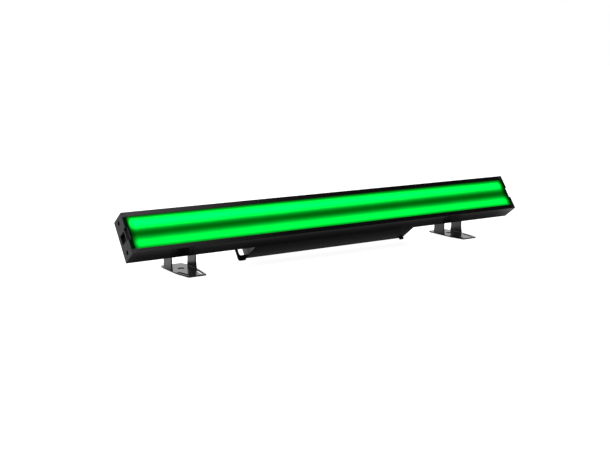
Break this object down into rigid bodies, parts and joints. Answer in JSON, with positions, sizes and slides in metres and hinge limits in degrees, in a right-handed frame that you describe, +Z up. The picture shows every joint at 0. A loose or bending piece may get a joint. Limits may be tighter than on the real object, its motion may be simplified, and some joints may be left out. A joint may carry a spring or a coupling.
{
  "type": "led strip batten",
  "caption": "Metre-long LED wash bar with an opal lens over two light rows, a rear control box and a pair of tilting U-bracket floor feet.",
  "frame": {"origin": "floor level, middle of the bar's length, middle of the footprint from the lower front edge to the rear of the feet", "axes": "+X along the bar to its right-hand end seen from the front, -Y towards the front, +Z up"},
  "size_m": [1, 0.129, 0.1351],
  "materials": {
    "black_extrusion": "satin black powder coat",
    "black_sheet": "satin black powder coat",
    "cover_sheet": "fine textured black powder coat",
    "foot_sheet": "semi-gloss black powder coat",
    "cap_plastic": "fine moulded texture",
    "opal_lens": "satin opal, lit green",
    "white_reflector": "matt white",
    "circuit_board": "solder mask",
    "led_board_white": "white solder mask on aluminium",
    "led_package": "clear silicone over white package",
    "zinc_steel": "zinc plated",
    "black_steel": "black oxide",
    "galvanised_case": "folded zinc sheet",
    "connector_black": "fine moulded texture",
    "connector_blue": "moulded",
    "connector_grey": "moulded",
    "contact_metal": "gold plated",
    "black_rubber": "matt",
    "smoked_window": "polished",
    "fuse_glass": "clear",
    "fibre_washer": "pressed fibre",
    "cable_jacket": "satin jacket",
    "component_mix": "moulded packages"
  },
  "bodies": {
    "bar": {"housing_extrusion": "black_extrusion", "diffuser_lens": "opal_lens", "end_cap_left": "cap_plastic", "end_cap_right": "cap_plastic", "end_cap_screws": "black_steel", "reflector_tray": "white_reflector", "led_board_screws": "zinc_steel", "rear_housing": "black_sheet", "rear_housing_screws": "zinc_steel", "rear_cover": "cover_sheet", "rear_cover_posts": "zinc_steel", "rear_cover_screws": "black_steel", "control_board": "circuit_board", "control_board_spacers": "zinc_steel", "tact_switches": "component_mix", "display_module": "component_mix", "display_window": "smoked_window", "fuse_holder": "connector_black", "power_inlet": "connector_blue", "power_outlet": "connector_grey", "data_inlet": "connector_black", "data_inlet_pins": "contact_metal", "data_outlet": "connector_black", "socket_screws": "black_steel", "power_supply": "galvanised_case", "driver_board": "circuit_board", "driver_components": "component_mix", "mounting_pillars": "zinc_steel", "cable_grommet": "black_rubber", "led_feed_cable": "cable_jacket", "supply_cable": "cable_jacket", "safety_eyelet": "black_sheet", "rubber_bumper": "black_rubber", "yoke_mount_screws": "black_steel", "pivot_nuts": "zinc_steel", "friction_washers": "fibre_washer", "knob_washers": "black_steel", "led_board_upper": "led_board_white", "led_board_lower": "led_board_white", "led_chips_upper": "led_package", "led_chips_lower": "led_package", "yoke_mount_left": "black_sheet", "yoke_mount_right": "black_sheet"},
    "foot_left": {"foot_bracket_left": "foot_sheet"},
    "knob_left_outer": {"clamp_knob_left_outer": "connector_black", "clamp_stud_left_outer": "zinc_steel"},
    "knob_left_inner": {"clamp_knob_left_inner": "connector_black", "clamp_stud_left_inner": "zinc_steel"},
    "foot_right": {"foot_bracket_right": "foot_sheet"},
    "knob_right_outer": {"clamp_knob_right_outer": "connector_black", "clamp_stud_right_outer": "zinc_steel"},
    "knob_right_inner": {"clamp_knob_right_inner": "connector_black", "clamp_stud_right_inner": "zinc_steel"},
    "button_1": {"menu_button_1": "connector_black"},
    "button_2": {"menu_button_2": "connector_black"},
    "button_3": {"menu_button_3": "connector_black"},
    "button_4": {"menu_button_4": "connector_black"},
    "data_latch": {"data_latch_button": "connector_black"},
    "fuse_carrier": {"fuse_cap": "connector_black", "fuse": "fuse_glass"}
  },
  "joints": [
    {"name": "foot_left_tilt", "type": "hinge", "parent": "bar", "child": "foot_left", "pos_m": [-0.36, 0.02176, 0.0555], "axis": [1, 0, 0], "range_deg": [-36.6, 143.4]},
    {"name": "knob_left_outer_turn", "type": "hinge", "parent": "bar", "child": "knob_left_outer", "pos_m": [-0.3965, 0.02176, 0.0555], "axis": [-1, 0, 0], "range_deg": [0, 360]},
    {"name": "knob_left_inner_turn", "type": "hinge", "parent": "bar", "child": "knob_left_inner", "pos_m": [-0.3235, 0.02176, 0.0555], "axis": [1, 0, 0], "range_deg": [0, 360]},
    {"name": "foot_right_tilt", "type": "hinge", "parent": "bar", "child": "foot_right", "pos_m": [0.36, 0.02176, 0.0555], "axis": [1, 0, 0], "range_deg": [-36.6, 143.4]},
    {"name": "knob_right_outer_turn", "type": "hinge", "parent": "bar", "child": "knob_right_outer", "pos_m": [0.3965, 0.02176, 0.0555], "axis": [1, 0, 0], "range_deg": [0, 360]},
    {"name": "knob_right_inner_turn", "type": "hinge", "parent": "bar", "child": "knob_right_inner", "pos_m": [0.3235, 0.02176, 0.0555], "axis": [-1, 0, 0], "range_deg": [0, 360]},
    {"name": "button_1_press", "type": "slide", "parent": "bar", "child": "button_1", "axis": [0, -0.8028, 0.5962], "range_m": [0, 0.001], "stiffness_N_per_m": 400, "springref_m": -0.001},
    {"name": "button_2_press", "type": "slide", "parent": "bar", "child": "button_2", "axis": [0, -0.8028, 0.5962], "range_m": [0, 0.001], "stiffness_N_per_m": 400, "springref_m": -0.001},
    {"name": "button_3_press", "type": "slide", "parent": "bar", "child": "button_3", "axis": [0, -0.8028, 0.5962], "range_m": [0, 0.001], "stiffness_N_per_m": 400, "springref_m": -0.001},
    {"name": "button_4_press", "type": "slide", "parent": "bar", "child": "button_4", "axis": [0, -0.8028, 0.5962], "range_m": [0, 0.001], "stiffness_N_per_m": 400, "springref_m": -0.001},
    {"name": "data_latch_press", "type": "slide", "parent": "bar", "child": "data_latch", "axis": [-1, 0, 0], "range_m": [0, 0.0018], "stiffness_N_per_m": 500, "springref_m": -0.001},
    {"name": "fuse_cap_turn", "type": "hinge", "parent": "bar", "child": "fuse_carrier", "pos_m": [-0.174, 0.04143, 0.04089], "axis": [0, 0.8028, -0.5962], "range_deg": [-90, 0]}
  ]
}
